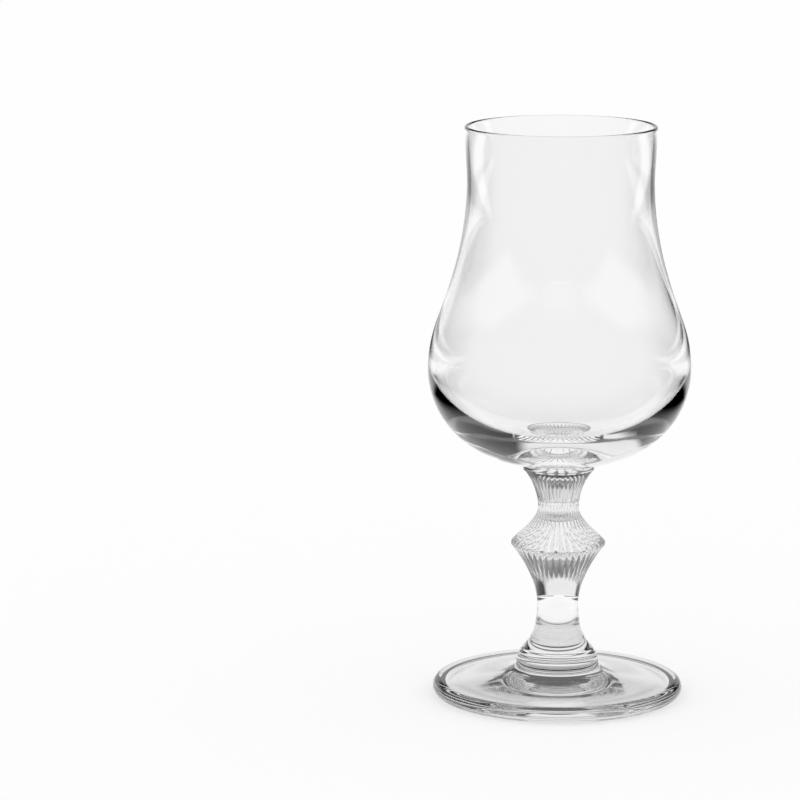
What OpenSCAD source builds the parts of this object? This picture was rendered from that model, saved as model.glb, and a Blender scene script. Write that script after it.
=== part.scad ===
// Stemmed goblet of clear glass: a bowl with a thick solid bottom, a moulded stem with a ribbed
// capital and a ribbed double-cone knop, and a round foot, joined hot at two thin merese rings.
// Origin: middle of the underside of the foot. +Z is up, along the axis of the goblet.

/* [Foot] */
// Outer radius of the foot
foot_r = 36; // [33:0.5:40]
// Thickness of the foot's fully rounded edge
foot_edge_t = 4.6; // [3.8:0.1:5.2]
// Height of the foot's top face where the hub's fillet runs out
foot_top_h = 5.75; // [5.4:0.05:6.6]
// How far the fillet spreads outwards from the hub
foot_fillet_reach = 8.2; // [6:0.2:11]
// Radius of the hub, where the lower merese sits
hub_r = 11.7; // [11.5:0.1:13]
// Height of the hub's top face above the table
hub_top_h = 10.4; // [9.8:0.1:12]
// Height of the hub's side above the fillet
hub_side_h = 1.6; // [0.8:0.1:2.2]
// How far that side leans outwards at its lower end
hub_flare = 0.2; // [0:0.05:0.6]
// Slope of the foot's top face, in degrees from level
foot_slope = 6.5; // [4:0.5:9]
// Width of the flat ring that the foot stands on
contact_ring_w = 1.4; // [1:0.1:3]
// Depth of the hollow under the foot
foot_hollow_h = 1.3; // [0.6:0.1:2]

/* [Lower merese] */
// Thickness of the ring between the foot and the stem
foot_merese_h = 1.2; // [0.8:0.1:2]
// How far its rounded edge stands out past its faces
foot_merese_bulge = 0.12; // [0.05:0.01:0.4]

/* [Stem] */
// Height of the stem between the two mereses
stem_h = 55; // [53:0.5:60]
// Radius of the stem's bottom face
stem_base_r = 11.2; // [10.8:0.1:11.4]
// Radius of the rounded shoulder above the bottom face
stem_shoulder_r = 10.4; // [10:0.1:10.7]
// Height of that shoulder above the bottom face
stem_shoulder_h = 1.6; // [1.2:0.1:2.2]
// Radius of the plain waist
waist_r = 5.93; // [5.2:0.05:6.6]
// Height of the waist above the stem's bottom face
waist_h = 15; // [13:0.5:17]
// Height of the plain part, below the ribs
plain_h = 22.8; // [20:0.2:24]
// Radius of the knop at its widest
knop_r = 13.4; // [12.5:0.1:15]
// Height of the middle of the knop above the stem's bottom face
knop_h = 32.9; // [31.5:0.1:34]
// Height of the plain rounded band round the knop
knop_band_h = 1.1; // [0.8:0.1:1.8]
// Radius of the neck above the knop
neck_r = 5.85; // [5.2:0.05:6.4]
// Height of that neck above the stem's bottom face
neck_h = 43.3; // [42:0.1:45]
// Height of the plain lip round the capital's top
capital_lip_h = 0.4; // [0.2:0.05:0.8]

/* [Ribs] */
// Number of ribs round the stem
rib_count = 40; // [32:2:44]
// Depth of the grooves between the ribs, at the knop's radius
groove_depth = 0.6; // [0.3:0.05:0.8]
// Height over which a groove runs out to nothing at each end
groove_runout_h = 0.4; // [0.3:0.1:1]
// How far the ribbed part stands in from the plain part where the ribs start
rib_step = 0.04; // [0.02:0.01:0.1]

/* [Upper merese] */
// Thickness of the wafer between the stem and the bowl
bowl_merese_h = 0.95; // [0.6:0.05:1.6]
// Radius of its faces, and of the faces of the stem and the bowl that it joins
top_seat_r = 10.25; // [9.6:0.05:11]
// How far its rounded edge stands out past its faces
bowl_merese_bulge = 0.12; // [0.05:0.01:0.4]

/* [Bowl] */
// Height of the bowl from its seat to the rim
bowl_h = 97.45; // [94:0.5:104]
// Outer radius of the rim
rim_r = 27.35; // [26.5:0.05:28.5]
// Outer radius of the bowl's neck, its narrowest place below the rim
bowl_neck_r = 26.6; // [25.5:0.1:27]
// Height of that neck above the seat, as a share of the bowl's height
bowl_neck_height_share = 0.8343; // [0.8:0.005:0.88]
// Outer radius of the shoulder, between belly and neck
shoulder_r = 32.96; // [32:0.1:34]
// Height of the shoulder above the seat, as a share of the bowl's height
shoulder_height_share = 0.4874; // [0.46:0.005:0.52]
// Lean of the wall at the shoulder, in degrees from upright
shoulder_lean = 19.2; // [16:0.2:23]
// Outer radius of the belly
belly_r = 37.6; // [36.8:0.1:39]
// Height of the belly above the seat, as a share of the bowl's height
belly_height_share = 0.2878; // [0.27:0.005:0.31]
// Outer radius where the flat underside turns up into the side
underside_r = 17.53; // [16:0.1:19]
// Height of that turn above the seat
underside_h = 2.15; // [1.8:0.05:2.6]
// Slope of the underside at that turn, in degrees from level
underside_slope = 17.2; // [14:0.2:20]
// Wall thickness at the rim
rim_t = 1.15; // [0.9:0.05:1.6]
// Wall thickness at the bowl's neck
neck_t = 1.1; // [0.9:0.05:1.6]
// Wall thickness at the belly
belly_t = 1.85; // [1.4:0.05:2.4]
// Thickness of the solid bottom on the axis
floor_t = 5.2; // [4.4:0.1:6.4]
// How much higher the inside is widest than the outside
inner_belly_rise = 0.6; // [0:0.1:1.5]

/* [Hidden] */
glass_color = "#dfe9ea";
round_fn = 128;
// Steps along one curve, and along a small rounded edge
curve_steps = 14;
short_steps = 6;
edge_steps = 16;
lip_steps = 10;
// Steps along one ribbed curve, and points across one rib
rib_steps = 7;
rib_points = 4;

// The pieces stand on one another
foot_merese_z = hub_top_h;
stem_z = foot_merese_z + foot_merese_h;
bowl_merese_z = stem_z + stem_h;
bowl_z = bowl_merese_z + bowl_merese_h;

// Shares of the step between two stations at which a curve's handles lie
fillet_start_shares = [0.1, 0.62];
fillet_end_share = 0.5;
foot_top_shares = [0.4, 0.3];
hollow_shares = [0.15, 0.5];
flare_start_share = 0.79;
flare_end_shares = [0.12, 0.105];
shoulder_start_shares = [0.6, 0.38];
shoulder_end_share = 0.3;
lower_cone_knop_shares = [0.387, 0.196];
lower_cone_waist_share = 0.372;
upper_cone_neck_share = 0.341;
upper_cone_knop_shares = [0.323, 0.275];
root_share = 0.03;
rib_end_share = 0.05;
capital_neck_share = 0.45;
capital_top_shares = [0.386, 0.14];
band_bulge_share = 0.15;
seat_turn_shares = [0.245, 0.25];
belly_below_shares = [0.7, 0.415];
belly_above_share = 0.44;
shoulder_handle_shares = [0.325, 0.255];
bowl_neck_share = 0.413;
rim_neck_share = 0.3;
rim_handle_share = 0.32;
inner_floor_share = 0.807;
inner_side_share = 0.35;

// A point on the cubic curve with end points a and d and handles b and c
function cubic(a, b, c, d, t) =
    pow(1 - t, 3) * a + 3 * pow(1 - t, 2) * t * b + 3 * (1 - t) * t * t * c + t * t * t * d;
// Even steps from 0 up to 1, without 1 itself
function evenly(steps) = [for (i = [0 : steps - 1]) i / steps];
// The curve's points, without its last one
function curve(a, b, c, d, steps) = [for (t = evenly(steps)) cubic(a, b, c, d, t)];
// An arc's points about centre c, from angle a0 to angle a1
function arc(c, r, a0, a1, steps) =
    [for (i = [0 : steps]) let (a = a0 + (a1 - a0) * i / steps) c + r * [cos(a), sin(a)]];
// A direction at an angle from level, in the plane of a profile
function heading(a) = [cos(a), sin(a)];

module turned(points) {
    rotate_extrude($fn = round_fn) polygon(points);
}

// Foot: flat contact ring, shallow hollow, rounded edge, fillet and hub
edge_r = foot_edge_t / 2;
edge_c = [foot_r - edge_r, edge_r];
edge_top = edge_c + [0, edge_r];
fillet_top = [hub_r + hub_flare, hub_top_h - hub_side_h];
fillet_end = [fillet_top[0] + foot_fillet_reach, foot_top_h];
fillet_drop = fillet_top[1] - fillet_end[1];
foot_top_w = edge_top[0] - fillet_end[0];
slope_dir = heading(-foot_slope);
ring_in = [edge_c[0] - contact_ring_w, 0];
foot_profile = concat(
    [[0, hub_top_h], [hub_r, hub_top_h]],
    curve(fillet_top,
        fillet_top + [foot_fillet_reach * fillet_start_shares[0],
            -fillet_drop * fillet_start_shares[1]],
        fillet_end - foot_fillet_reach * fillet_end_share * slope_dir,
        fillet_end, curve_steps),
    curve(fillet_end,
        fillet_end + foot_top_w * foot_top_shares[0] * slope_dir,
        edge_top - [foot_top_w * foot_top_shares[1], 0],
        edge_top, short_steps),
    arc(edge_c, edge_r, 90, -90, edge_steps),
    curve(ring_in,
        ring_in + [-ring_in[0] * hollow_shares[0], foot_hollow_h * hollow_shares[1]],
        [ring_in[0] * hollow_shares[1], foot_hollow_h],
        [0, foot_hollow_h], curve_steps),
    [[0, foot_hollow_h]]
);

module foot() {
    color(glass_color) turned(foot_profile);
}

// A merese: two flat faces and a rounded edge between them
function merese_profile(bottom_r, top_r, h, bulge) = concat(
    [[0, 0]],
    curve([bottom_r, 0], [bottom_r + bulge, 0], [top_r + bulge, h], [top_r, h], short_steps),
    [[top_r, h], [0, h]]
);

module foot_merese() {
    color(glass_color) translate([0, 0, foot_merese_z])
        turned(merese_profile(hub_r, stem_base_r, foot_merese_h, foot_merese_bulge));
}

module bowl_merese() {
    color(glass_color) translate([0, 0, bowl_merese_z])
        turned(merese_profile(top_seat_r, top_seat_r, bowl_merese_h, bowl_merese_bulge));
}

// Stem: plain flare and waist below, ribs on the knop, the neck and the capital above.
// The lower cone runs from the knop to the waist, and the ribs stop part of the way down it.
knop_low = [knop_r, knop_h - knop_band_h / 2];
knop_high = [knop_r, knop_h + knop_band_h / 2];
shoulder_p = [stem_shoulder_r, stem_shoulder_h];
waist_p = [waist_r, waist_h];
neck_p = [neck_r, neck_h];
capital_p = [top_seat_r, stem_h - capital_lip_h];
flare_h = waist_h - stem_shoulder_h;
lower_cone_h = knop_low[1] - waist_h;
upper_cone_h = neck_h - knop_high[1];
capital_h = capital_p[1] - neck_h;

function lower_cone(t) = cubic(waist_p,
    waist_p + [0, lower_cone_h * lower_cone_waist_share],
    knop_low - [(knop_r - waist_r) * lower_cone_knop_shares[0],
        lower_cone_h * lower_cone_knop_shares[1]],
    knop_low, t);
// Where the ribs start on the lower cone, found by halving
function cone_share_at(h, low, high, n) =
    n == 0 ? (low + high) / 2
    : lower_cone((low + high) / 2)[1] < h ? cone_share_at(h, (low + high) / 2, high, n - 1)
    : cone_share_at(h, low, (low + high) / 2, n - 1);
rib_start_share = cone_share_at(plain_h, 0, 1, 24);
rib_start = lower_cone(rib_start_share);

plain_profile = concat(
    [[0, 0]],
    curve([stem_base_r, 0],
        [stem_base_r, stem_shoulder_h * shoulder_end_share],
        shoulder_p + [(stem_base_r - stem_shoulder_r) * shoulder_start_shares[0],
            -stem_shoulder_h * shoulder_start_shares[1]],
        shoulder_p, short_steps),
    curve(shoulder_p,
        shoulder_p + [-(stem_shoulder_r - waist_r) * flare_end_shares[0],
            flare_h * flare_end_shares[1]],
        waist_p - [0, flare_h * flare_start_share],
        waist_p, curve_steps),
    [for (i = [0 : curve_steps]) lower_cone(rib_start_share * i / curve_steps)],
    [[0, rib_start[1]]]
);

// The ribbed part is rooted a little way inside the plain part
rib_root_share = rib_start_share - root_share;
// A curve's steps, with one more close to its end, where the grooves stop short
toward_end = concat(evenly(rib_steps), [1 - rib_end_share]);
function upper_cone(t) = cubic(neck_p,
    neck_p - [0, upper_cone_h * upper_cone_neck_share],
    knop_high + [-(knop_r - neck_r) * upper_cone_knop_shares[0],
        upper_cone_h * upper_cone_knop_shares[1]],
    knop_high, t);
function capital_side(t) = cubic(neck_p,
    neck_p + [0, capital_h * capital_neck_share],
    capital_p - [(top_seat_r - neck_r) * capital_top_shares[0],
        capital_h * capital_top_shares[1]],
    capital_p, t);
ribbed_profile = concat(
    [for (t = toward_end)
        lower_cone(rib_root_share + (1 - rib_root_share) * t) - [rib_step * (1 - t), 0]],
    [knop_low, [knop_r + knop_band_h * band_bulge_share, knop_h], knop_high],
    [for (i = [len(toward_end) - 1 : -1 : 1]) upper_cone(toward_end[i])],
    [for (t = toward_end) capital_side(t)],
    [capital_p, [top_seat_r, stem_h]]
);

// How much of its depth a groove has at height h: none at its ends and on the knop's band
function eased(x) = sqrt(max(0, min(1, x)));
function depth_share(h) =
    eased((h - rib_start[1]) / groove_runout_h)
    * eased((capital_p[1] - h) / groove_runout_h)
    * eased((abs(h - knop_h) - knop_band_h / 2) / groove_runout_h);
// Shape across one rib: highest in the middle, with a sharp groove on each side
function groove_share(k) = pow(2 * (k % rib_points) / rib_points - 1, 2);

ring_points = rib_count * rib_points;
ribbed_points = [for (p = ribbed_profile) for (k = [0 : ring_points - 1])
    let (a = 360 * k / ring_points)
    let (r = p[0] - groove_depth * p[0] / knop_r * depth_share(p[1]) * groove_share(k))
    [r * cos(a), r * sin(a), p[1]]];
ring_count = len(ribbed_profile);
ribbed_faces = concat(
    [[for (k = [0 : ring_points - 1]) k]],
    [for (j = [0 : ring_count - 2]) for (k = [0 : ring_points - 1])
        let (a = j * ring_points + k, b = j * ring_points + (k + 1) % ring_points)
        each [[a, a + ring_points, b], [b, a + ring_points, b + ring_points]]],
    [[for (k = [ring_points - 1 : -1 : 0]) (ring_count - 1) * ring_points + k]]
);

module stem() {
    color(glass_color) translate([0, 0, stem_z]) union() {
        turned(plain_profile);
        polyhedron(points = ribbed_points, faces = ribbed_faces, convexity = 6);
    }
}

// Bowl: stations up the outside, the rounded rim, and stations down the inside
seat_p = [top_seat_r, 0];
under_p = [underside_r, underside_h];
belly_h = bowl_h * belly_height_share;
shoulder_h = bowl_h * shoulder_height_share;
bowl_neck_h = bowl_h * bowl_neck_height_share;
belly_p = [belly_r, belly_h];
bowl_shoulder_p = [shoulder_r, shoulder_h];
bowl_neck_p = [bowl_neck_r, bowl_neck_h];
lip_r = rim_t / 2;
rim_p = [rim_r, bowl_h - lip_r];
under_dir = heading(underside_slope);
shoulder_dir = [-sin(shoulder_lean), cos(shoulder_lean)];
shoulder_t = (belly_t + neck_t) / 2;
upper_h = bowl_neck_h - shoulder_h;
middle_h = shoulder_h - belly_h;
low_h = belly_h - underside_h;

// The side from belly to rim, drawn for the outside or, with wall thicknesses, for the inside
function side(belly, shoulder, neck, rim) = concat(
    curve(belly,
        belly + [0, (shoulder[1] - belly[1]) * belly_above_share],
        shoulder - shoulder_dir * middle_h * shoulder_handle_shares[0],
        shoulder, curve_steps),
    curve(shoulder,
        shoulder + shoulder_dir * upper_h * shoulder_handle_shares[1],
        neck - [0, upper_h * bowl_neck_share],
        neck, curve_steps),
    curve(neck,
        neck + [0, (rim[1] - neck[1]) * rim_neck_share],
        rim - [0, (rim[1] - neck[1]) * rim_handle_share],
        rim, curve_steps),
    [rim]
);

bowl_outside = concat(
    curve(seat_p,
        seat_p + (underside_r - top_seat_r) * seat_turn_shares[0] * heading(underside_slope / 2),
        under_p - (underside_r - top_seat_r) * seat_turn_shares[1] * under_dir,
        under_p, short_steps),
    curve(under_p,
        under_p + (belly_r - underside_r) * belly_below_shares[0] * under_dir,
        belly_p - [0, low_h * belly_below_shares[1]],
        belly_p, curve_steps),
    side(belly_p, bowl_shoulder_p, bowl_neck_p, rim_p)
);
inner_belly_p = [belly_r - belly_t, belly_h + inner_belly_rise];
inner_drop = inner_belly_p[1] - floor_t;
bowl_inside = concat(
    curve([0, floor_t],
        [inner_belly_p[0] * inner_floor_share, floor_t],
        inner_belly_p - [0, inner_drop * inner_side_share],
        inner_belly_p, 2 * curve_steps),
    side(inner_belly_p,
        bowl_shoulder_p - [shoulder_t, 0],
        bowl_neck_p - [neck_t, 0],
        rim_p - [rim_t, 0])
);
lip_arc = arc(rim_p - [lip_r, 0], lip_r, 0, 180, lip_steps);
bowl_profile = concat(
    [[0, 0]],
    bowl_outside,
    [for (i = [1 : lip_steps - 1]) lip_arc[i]],
    [for (i = [len(bowl_inside) - 1 : -1 : 0]) bowl_inside[i]]
);

module bowl() {
    color(glass_color) translate([0, 0, bowl_z]) turned(bowl_profile);
}

foot();
foot_merese();
stem();
bowl_merese();
bowl();
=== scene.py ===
# Stemmed goblet of clear glass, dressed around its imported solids.
import math

import bpy
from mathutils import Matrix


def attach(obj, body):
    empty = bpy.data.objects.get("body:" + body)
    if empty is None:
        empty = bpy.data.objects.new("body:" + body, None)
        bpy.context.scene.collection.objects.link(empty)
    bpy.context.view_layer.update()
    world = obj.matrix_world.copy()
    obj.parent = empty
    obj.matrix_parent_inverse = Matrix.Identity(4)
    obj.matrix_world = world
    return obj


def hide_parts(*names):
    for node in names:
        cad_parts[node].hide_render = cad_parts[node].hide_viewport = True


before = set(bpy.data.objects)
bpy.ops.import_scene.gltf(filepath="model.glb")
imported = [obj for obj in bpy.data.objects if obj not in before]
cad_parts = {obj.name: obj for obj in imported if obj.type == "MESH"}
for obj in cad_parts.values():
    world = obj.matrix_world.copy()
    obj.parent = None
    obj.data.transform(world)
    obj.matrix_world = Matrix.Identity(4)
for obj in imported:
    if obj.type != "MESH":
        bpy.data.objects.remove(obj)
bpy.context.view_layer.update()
print("frame loaded:", sorted(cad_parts))

mm = 0.001
turn = 2 * math.pi
# points nearer than this become one point
mergeDistance = 0.0005 * mm
# how close to a joint's height its faces lie
jointTolerance = 0.001 * mm
# edges that turn by more than this stay crisp
creaseAngle = math.radians(38)

# The flat joints between the five pieces, in mm: radius, height
footTop = (11.7, 10.4)
stemBottom = (11.2, 11.6)
stemTop = (10.25, 66.6)
bowlBottom = (10.25, 67.55)


def clearSelection():
    if bpy.context.mode != "OBJECT":
        bpy.ops.object.mode_set(mode="OBJECT")
    bpy.ops.object.select_all(action="DESELECT")


# Profiles are lists of stations in mm: (radius, height, handle behind, handle ahead).
# A handle is a step from its station, and None makes a plain corner.
def drawProfile(name, stations, fineness):
    clearSelection()
    bpy.ops.curve.primitive_bezier_curve_add(location=(0, 0, 0))
    drawn = bpy.context.object
    drawn.name = name
    drawn.data.dimensions = "3D"
    drawn.data.resolution_u = fineness
    line = drawn.data.splines[0]
    line.resolution_u = fineness
    line.bezier_points.add(len(stations) - len(line.bezier_points))
    for point, (radius, height, behind, ahead) in zip(line.bezier_points, stations):
        point.handle_left_type = "FREE"
        point.handle_right_type = "FREE"
        point.co = (radius * mm, 0, height * mm)
        back = behind or (0, 0)
        front = ahead or (0, 0)
        point.handle_left = ((radius + back[0]) * mm, 0, (height + back[1]) * mm)
        point.handle_right = ((radius + front[0]) * mm, 0, (height + front[1]) * mm)
    bpy.ops.object.convert(target="MESH")
    return bpy.context.object


# Sweeps what is drawn round the axis as one surface, or sets copies of it round the axis
def spinDrawn(steps, angle, copies=False):
    bpy.ops.object.mode_set(mode="EDIT")
    bpy.ops.mesh.select_all(action="SELECT")
    bpy.ops.mesh.spin(steps=steps, angle=angle, dupli=copies, center=(0, 0, 0), axis=(0, 0, 1))
    bpy.ops.object.mode_set(mode="OBJECT")


def closeSurface():
    bpy.ops.object.mode_set(mode="EDIT")
    bpy.ops.mesh.select_all(action="SELECT")
    bpy.ops.mesh.remove_doubles(threshold=mergeDistance)
    bpy.ops.mesh.normals_make_consistent(inside=False)
    bpy.ops.object.mode_set(mode="OBJECT")


# A blown or pressed piece without ribs is its profile, spun once round the axis
def makeRound(name, shape):
    piece = drawProfile(name, shape["profile"], shape["fineness"])
    spinDrawn(shape["steps"], turn)
    closeSurface()
    return piece


# The faces where two pieces are melted together let light straight through
def finishPiece(piece, glass, jointHeights, node):
    piece.data.materials.append(glass)
    piece.data.materials.append(meltedJoint)
    points = piece.data.vertices
    for face in piece.data.polygons:
        for height in jointHeights:
            if all(abs(points[v].co.z - height * mm) < jointTolerance for v in face.vertices):
                face.material_index = 1
    clearSelection()
    piece.select_set(True)
    bpy.context.view_layer.objects.active = piece
    bpy.ops.object.shade_smooth_by_angle(angle=creaseAngle)
    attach(piece, "root")
    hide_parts(node)
    print(piece.name, "made with", len(piece.data.polygons), "faces")


# Glass surfaces

# Faint waves that hot glass keeps when it sets, as a height for a Bump node
def makeSetWaves():
    group = bpy.data.node_groups.new("setWaves", "ShaderNodeTree")
    sockets = group.interface
    sockets.new_socket(name="Vector", in_out="INPUT", socket_type="NodeSocketVector")
    for name in ("Wave Size", "Grain Size", "Grain Share"):
        sockets.new_socket(name=name, in_out="INPUT", socket_type="NodeSocketFloat")
    sockets.new_socket(name="Height", in_out="OUTPUT", socket_type="NodeSocketFloat")
    nodes, links = group.nodes, group.links
    given = nodes.new("NodeGroupInput")
    result = nodes.new("NodeGroupOutput")
    waves = nodes.new("ShaderNodeTexNoise")
    waves.inputs["Detail"].default_value = 1.0
    grain = nodes.new("ShaderNodeTexNoise")
    grain.inputs["Detail"].default_value = 2.0
    blend = nodes.new("ShaderNodeMix")
    links.new(given.outputs["Vector"], waves.inputs["Vector"])
    links.new(given.outputs["Vector"], grain.inputs["Vector"])
    links.new(given.outputs["Wave Size"], waves.inputs["Scale"])
    links.new(given.outputs["Grain Size"], grain.inputs["Scale"])
    links.new(given.outputs["Grain Share"], blend.inputs["Factor"])
    links.new(waves.outputs["Fac"], blend.inputs[2])
    links.new(grain.outputs["Fac"], blend.inputs[3])
    links.new(blend.outputs[0], result.inputs["Height"])
    return group


setWaves = makeSetWaves()

# The waves' heights between which polish turns to haze
hazeStart, hazeFull = 0.35, 0.75


def makeGlass(name, look):
    glass = bpy.data.materials.new(name)
    glass.use_nodes = True
    nodes, links = glass.node_tree.nodes, glass.node_tree.links
    shader = nodes["Principled BSDF"]
    shader.inputs["Base Color"].default_value = look["tint"]
    shader.inputs["Transmission Weight"].default_value = 1
    shader.inputs["IOR"].default_value = look["ior"]
    place = nodes.new("ShaderNodeTexCoord")
    stretch = nodes.new("ShaderNodeMapping")
    stretch.inputs["Scale"].default_value = (1, 1, look["stretch"])
    waves = nodes.new("ShaderNodeGroup")
    waves.node_tree = setWaves
    waves.inputs["Wave Size"].default_value = look["waveSize"]
    waves.inputs["Grain Size"].default_value = look["grainSize"]
    waves.inputs["Grain Share"].default_value = look["grainShare"]
    bump = nodes.new("ShaderNodeBump")
    bump.inputs["Strength"].default_value = look["waveStrength"]
    bump.inputs["Distance"].default_value = look["waveHeight"] * mm
    haze = nodes.new("ShaderNodeMapRange")
    haze.inputs["From Min"].default_value = hazeStart
    haze.inputs["From Max"].default_value = hazeFull
    haze.inputs["To Min"].default_value = look["polish"]
    haze.inputs["To Max"].default_value = look["haze"]
    links.new(place.outputs["Object"], stretch.inputs["Vector"])
    links.new(stretch.outputs["Vector"], waves.inputs["Vector"])
    links.new(waves.outputs["Height"], bump.inputs["Height"])
    links.new(waves.outputs["Height"], haze.inputs["Value"])
    links.new(bump.outputs["Normal"], shader.inputs["Normal"])
    links.new(haze.outputs["Result"], shader.inputs["Roughness"])
    return glass


blownGlass = makeGlass("blownGlass", {
    "tint": (1, 1, 1, 1), "ior": 1.52, "stretch": 0.35, "waveSize": 38, "grainSize": 240,
    "grainShare": 0.04, "waveStrength": 0.25, "waveHeight": 0.02, "polish": 0.0, "haze": 0.006})
mouldedGlass = makeGlass("mouldedGlass", {
    "tint": (1, 1, 1, 1), "ior": 1.52, "stretch": 1, "waveSize": 160, "grainSize": 900,
    "grainShare": 0.1, "waveStrength": 0.3, "waveHeight": 0.02, "polish": 0.0, "haze": 0.012})


def makeMeltedJoint():
    joint = bpy.data.materials.new("meltedJoint")
    joint.use_nodes = True
    shader = joint.node_tree.nodes["Principled BSDF"]
    shader.inputs["Alpha"].default_value = 0
    shader.inputs["Roughness"].default_value = 0
    return joint


meltedJoint = makeMeltedJoint()
print("glass ready")


# Foot: hub, fillet, sloping top, rounded edge, contact ring and shallow hollow
footShape = {
    "steps": 192,
    "fineness": 14,
    "profile": [
        (0, footTop[1], None, None),
        (*footTop, None, None),
        (11.9, 8.8, None, (0.82, -1.891)),
        (20.1, 5.75, (-4.074, 0.464), (5.405, -0.616)),
        (33.7, 4.6, (-4.08, 0), (1.27, 0)),
        (36, 2.3, (0, 1.27), (0, -1.27)),
        (33.7, 0, (1.27, 0), None),
        (32.3, 0, None, (-4.845, 0.65)),
        (0, 1.3, (16.15, 0), None),
    ],
    "joints": [footTop[1]],
}


def makeFoot(shape):
    foot = makeRound("footGlass", shape)
    finishPiece(foot, blownGlass, shape["joints"], "foot")


makeFoot(footShape)


# The two mereses: thin rings of glass with a slightly bulging edge
mereseShapes = {
    "foot_merese": {"steps": 192, "fineness": 10, "low": footTop, "top": stemBottom, "bulge": 0.12},
    "bowl_merese": {"steps": 192, "fineness": 10, "low": stemTop, "top": bowlBottom, "bulge": 0.12},
}


def makeMerese(node, shape):
    (lowRadius, low), (topRadius, top), bulge = shape["low"], shape["top"], shape["bulge"]
    edge = [
        (0, low, None, None),
        (lowRadius, low, None, (bulge, 0)),
        (topRadius, top, (bulge, 0), None),
        (0, top, None, None),
    ]
    ring = makeRound(node + "Glass", {**shape, "profile": edge})
    finishPiece(ring, blownGlass, [low, top], node)


for mereseNode, mereseShape in mereseShapes.items():
    makeMerese(mereseNode, mereseShape)


# Stem: plain flare and waist, then ribs on the knop's two cones, the neck and the capital
knop = {"radius": 13.4, "low": 43.95, "crest": 44.5, "top": 45.05}
capitalTop = 66.2
stemShape = {
    "fineness": 16,
    "ribCount": 40,
    "ribSteps": 12,
    # by height: the grooves' depth on a stem as wide as the knop, and the flatness of the ribs
    "grooves": [
        (34.4, 0, 2), (35.6, 0.55, 2), (knop["crest"], 0.55, 2), (45.1, 0.7, 4), (53, 0.7, 4),
        (56, 0.45, 2), (65.4, 0.6, 2), (stemTop[1], 0, 2)],
    # where a flank's grooves cut into a band: from, to, flank radius there, flank lean
    "grooveEnds": [
        (knop["low"], knop["crest"], knop["radius"], 0.85),
        (knop["top"], knop["crest"], knop["radius"], -0.9),
        (capitalTop, stemTop[1], stemTop[0], 1.07)],
    "profile": [
        (0, stemBottom[1], None, None),
        (*stemBottom, None, (0, 0.48)),
        (10.4, 13.2, (0.48, -0.608), (-0.536, 1.407)),
        (5.93, 26.6, (0, -10.586), (0, 6.454)),
        (knop["radius"], knop["low"], (-2.891, -3.401), (0.08, 0.12)),
        (13.565, knop["crest"], (0, -0.25), (0, 0.25)),
        (knop["radius"], knop["top"], (0.08, -0.12), (-2.439, 2.709)),
        (5.85, 54.9, (0, -3.359), (0, 5.085)),
        (stemTop[0], capitalTop, (-1.698, -1.582), None),
        (*stemTop, None, None),
        (0, stemTop[1], None, None),
    ],
    "joints": [stemBottom[1], stemTop[1]],
}


# The radius that a rib's back would have at this height, past the flank's end too
def flankRadius(shape, height, radius):
    for start, end, edge, lean in shape["grooveEnds"]:
        if min(start, end) <= height <= max(start, end) and height != start:
            return edge + lean * (height - start)
    return radius


def grooveAt(shape, height):
    for (low, shallow, sharp), (high, deep, flat) in zip(shape["grooves"], shape["grooves"][1:]):
        if height <= high:
            share = max(0, height - low) / (high - low)
            return shallow + (deep - shallow) * share, sharp + (flat - sharp) * share
    return shape["grooves"][-1][1:]


def makeStem(shape):
    stem = drawProfile("stemGlass", shape["profile"], shape["fineness"])
    # one rib's slice, rounded between the two grooves beside it
    pitch = turn / shape["ribCount"]
    spinDrawn(shape["ribSteps"], pitch)
    for point in stem.data.vertices:
        radius, height = math.hypot(point.co.x, point.co.y) / mm, point.co.z / mm
        depth, flatness = grooveAt(shape, height)
        if depth * radius == 0:
            continue
        across = 2 * abs(math.atan2(point.co.y, point.co.x)) / pitch - 1
        cut = depth * radius / knop["radius"] * abs(across) ** flatness
        ribbed = min(radius, flankRadius(shape, height, radius) - cut)
        point.co.x *= ribbed / radius
        point.co.y *= ribbed / radius
    spinDrawn(shape["ribCount"], turn, copies=True)
    closeSurface()
    finishPiece(stem, mouldedGlass, shape["joints"], "stem")


makeStem(stemShape)


# Bowl: thick rounded bottom, tulip side and fire-polished lip, then the inside from lip to bottom
bowlShape = {
    "steps": 224,
    "fineness": 26,
    "profile": [
        (0, bowlBottom[1], None, None),
        (*bowlBottom, None, (1.764, 0.267)),
        (17.53, 69.7, (-1.739, -0.538), (13.42, 4.154)),
        (37.6, 95.6, (0, -10.748), (0, 8.558)),
        (32.96, 115.05, (2.079, -5.97), (-2.835, 8.14)),
        (26.6, 148.85, (0, -13.959), (0, 4.672)),
        (27.35, 164.425, (0, -4.984), (0, 0.318)),
        (26.775, 165, (0.318, 0), (-0.318, 0)),
        (26.2, 164.425, (0, 0.318), (0, -4.984)),
        (25.5, 148.85, (0, 4.672), (0, -13.959)),
        (31.485, 115.05, (-2.835, 8.14), (2.079, -5.97)),
        (35.75, 96.2, (0, 8.294), (0, -8.208)),
        (0, 72.75, (28.85, 0), None),
    ],
    "joints": [bowlBottom[1]],
}


def makeBowl(shape):
    bowl = makeRound("bowlGlass", shape)
    finishPiece(bowl, blownGlass, shape["joints"], "bowl")


makeBowl(bowlShape)


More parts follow.
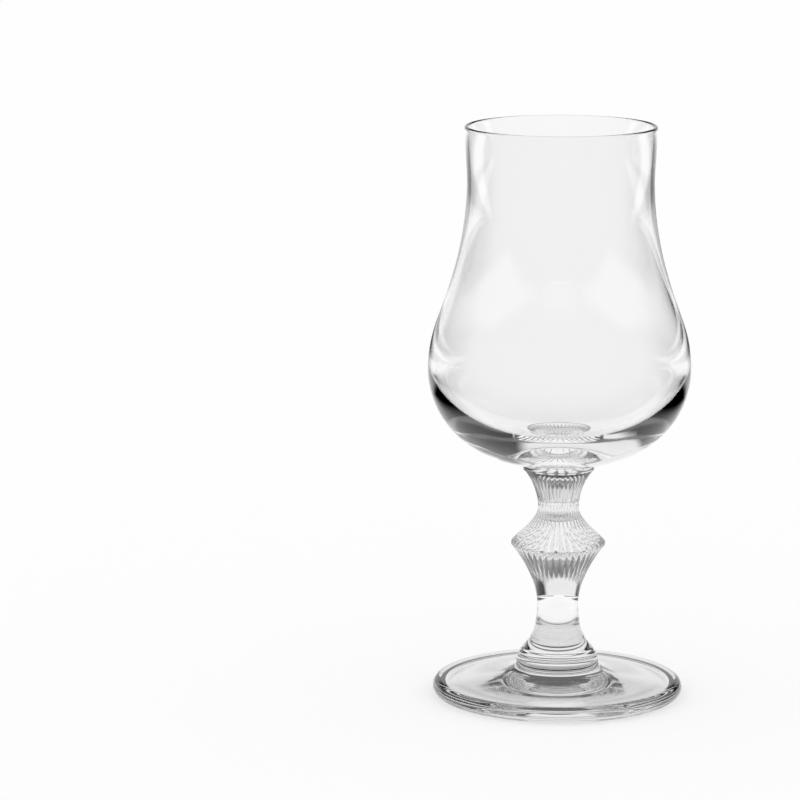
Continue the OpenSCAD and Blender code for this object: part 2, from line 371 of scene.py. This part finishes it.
# Studio: a pale table, a bright wall behind it, a dim room in front and black between the two.
# The glass shows these, and the lens meets plain white instead. So does light that crosses more
# glass faces than "crossings" without being mirrored, on the table and in a low cove round it.
# A pair of numbers is where a soft step starts and ends: in metres on the table, as a part of a
# ray's direction for the wall's middle and top, the ceiling and the cove, and for the other
# edges as the facing that facingBack works out.
# The table's colour holds painted light and shade: pale paint where the table is lit, near the glass
# and behind it, painted shade of the dim room further out, and a painted dim strip far back.
studioLook = {
    "tableSize": 8,
    "paint": 0.99,
    "tableSide": (0.12, 0.18),
    "tableFront": (0.03, 0.06),
    "tableBack": (0.24, 0.34),
    "stripStart": (0.6, 0.75),
    "stripEnd": (1.0, 1.3),
    "stripShade": 0.8,
    # painted shade: the table's colour towards its sides and back, outside the lit part
    "paintedFarShade": 0.0,
    "crossings": 3,
    "wall": 0.85,
    "side": 0.0,
    "front": 0.28,
    "frontEdge": (0.0, 0.3),
    "wallMiddle": (-0.1, 0.1),
    "leftEdge": (0.7, 0.82),
    "rightEdge": (0.86, 0.94),
    "wallTop": (0.25, 0.35),
    "ceiling": 0.12,
    "ceilingBack": (-0.5, 0.5),
    "cove": (0.08, 0.16),
    "shadowFill": 0.75,
}


# Short ways to add a sum, a soft step or a mix to a node tree
def makeTools(tree):
    nodes, links = tree.nodes, tree.links

    def plug(socket, value):
        if isinstance(value, (int, float)):
            socket.default_value = value
        else:
            links.new(value, socket)

    def work(kind, first, second=0):
        step = nodes.new("ShaderNodeMath")
        step.operation = kind
        plug(step.inputs[0], first)
        plug(step.inputs[1], second)
        return step.outputs["Value"]

    def rise(value, span, atLow=0, atHigh=1):
        step = nodes.new("ShaderNodeMapRange")
        step.interpolation_type = "SMOOTHSTEP"
        plug(step.inputs["Value"], value)
        for name, number in zip(("From Min", "From Max", "To Min", "To Max"), (*span, atLow, atHigh)):
            step.inputs[name].default_value = number
        return step.outputs["Result"]

    def mix(share, atZero, atOne):
        step = nodes.new("ShaderNodeMix")
        plug(step.inputs["Factor"], share)
        plug(step.inputs[2], atZero)
        plug(step.inputs[3], atOne)
        return step.outputs[0]

    def split(vector):
        parts = nodes.new("ShaderNodeSeparateXYZ")
        links.new(vector, parts.inputs["Vector"])
        return parts.outputs["X"], parts.outputs["Y"], parts.outputs["Z"]

    # from 1 straight behind the glass to -1 straight in front of it
    def facingBack(x, y):
        level = work("SQRT", work("ADD", work("MULTIPLY", x, x), work("MULTIPLY", y, y)))
        # a least length keeps the division safe on the axis
        return work("DIVIDE", y, work("MAXIMUM", level, mm))

    # 1 for the lens and for light that glass has let through without turning it back.
    # Light Path counts in whole numbers, so its counts are compared at a half.
    def straight(crossings):
        half = 0.5
        path = nodes.new("ShaderNodeLightPath")
        unturned = work("LESS_THAN", path.outputs["Glossy Depth"], half)
        crossed = work("GREATER_THAN", path.outputs["Transmission Depth"], crossings + half)
        return work("MAXIMUM", path.outputs["Is Camera Ray"], work("MULTIPLY", unturned, crossed))

    return work, rise, mix, split, facingBack, straight


def makeFloor(look):
    clearSelection()
    bpy.ops.mesh.primitive_plane_add(size=look["tableSize"], location=(0, 0, 0))
    floor = bpy.context.object
    floor.name = "floor"
    paint = bpy.data.materials.new("palePaintAndPaintedShade")
    paint.use_nodes = True
    nodes, links = paint.node_tree.nodes, paint.node_tree.links
    work, rise, mix, split, facingBack, straight = makeTools(paint.node_tree)
    shader = nodes["Principled BSDF"]
    shader.inputs["Roughness"].default_value = 1
    shader.inputs["Specular IOR Level"].default_value = 0
    place = nodes.new("ShaderNodeTexCoord")
    x, y = split(place.outputs["Object"])[:2]
    # painted light and shade: the table's colour is pale paint where it is lit, near the glass and
    # behind it, and painted shade elsewhere
    across = rise(work("ABSOLUTE", x), look["tableSide"], 1, 0)
    along = rise(work("MULTIPLY", y, -1), look["tableFront"], 1, 0)
    near = work("MULTIPLY", across, along)
    # a dim strip far back, painted shade in the table's colour, gives the bowl its thin outlines
    stripStart = rise(y, look["stripStart"], 0, look["stripShade"])
    strip = work("MULTIPLY", stripStart, rise(y, look["stripEnd"], 1, 0))
    behind = work("SUBTRACT", rise(y, look["tableBack"]), strip)
    lit = work("MAXIMUM", work("MAXIMUM", near, behind), straight(look["crossings"]))
    # painted shade of the dim room: dim towards the front and black towards the back and sides
    far = rise(facingBack(x, y), look["frontEdge"], look["front"], look["paintedFarShade"])
    links.new(mix(lit, far, look["paint"]), shader.inputs["Base Color"])
    floor.data.materials.append(paint)


makeFloor(studioLook)


def makeWorld(look):
    world = bpy.data.worlds.new("studio")
    bpy.context.scene.world = world
    world.use_nodes = True
    nodes, links = world.node_tree.nodes, world.node_tree.links
    work, rise, mix, split, facingBack, straight = makeTools(world.node_tree)
    # sampling the world as a lamp would skip the Light Path tests
    world.cycles.sampling_method = "NONE"
    sky = nodes["Background"]
    sky.inputs["Color"].default_value = (1, 1, 1, 1)
    place = nodes.new("ShaderNodeTexCoord")
    x, y, z = split(place.outputs["Generated"])
    facing = facingBack(x, y)
    leftWall, rightWall = rise(facing, look["leftEdge"]), rise(facing, look["rightEdge"])
    wall = mix(rise(x, look["wallMiddle"]), leftWall, rightWall)
    low = rise(z, look["wallTop"], 1, 0)
    bright = work("MULTIPLY", work("MULTIPLY", wall, low), look["wall"])
    ceiling = rise(y, look["ceilingBack"], 0, look["ceiling"])
    above = work("MULTIPLY", work("SUBTRACT", 1, low), ceiling)
    front = rise(facing, look["frontEdge"], look["front"], look["side"])
    room = work("MAXIMUM", work("MAXIMUM", bright, above), front)
    path = nodes.new("ShaderNodeLightPath")
    onTable = work("MULTIPLY", work("MINIMUM", path.outputs["Diffuse Depth"], 1), look["shadowFill"])
    diffuse = work("MAXIMUM", path.outputs["Is Diffuse Ray"], onTable)
    plain = work("MAXIMUM", path.outputs["Is Camera Ray"], diffuse)
    cove = work("MULTIPLY", straight(look["crossings"]), rise(z, look["cove"], 1, 0))
    links.new(mix(work("MAXIMUM", plain, cove), room, 1), sky.inputs["Strength"])


makeWorld(studioLook)


# The camera that was fitted to the photograph, in metres, radians and mm of lens
photoCamera = {
    "sensor": 36,
    "lens": 177.96,
    "shift": -0.00104,
    "reach": 50,
    "place": (-0.0453, -1.11215, 0.29392),
    "tilt": 0.1847,
}


def makeCamera(view):
    lens = bpy.data.cameras.new("photoLens")
    lens.sensor_width = view["sensor"]
    lens.lens = view["lens"]
    lens.shift_x = view["shift"]
    lens.clip_end = view["reach"]
    camera = bpy.data.objects.new("photoCamera", lens)
    bpy.context.scene.collection.objects.link(camera)
    camera.location = view["place"]
    camera.rotation_euler = (math.pi / 2 - view["tilt"], 0, 0)
    bpy.context.scene.camera = camera


makeCamera(photoCamera)
scene = bpy.context.scene
scene.view_settings.view_transform = "Standard"
# light that is caught in thick glass turns many times before it leaves
scene.cycles.max_bounces = 32
scene.cycles.transmission_bounces = 32
scene.cycles.glossy_bounces = 12
scene.cycles.transparent_max_bounces = 24
# no blur of the light that the foot throws on the table
scene.cycles.blur_glossy = 0
print("studio ready")
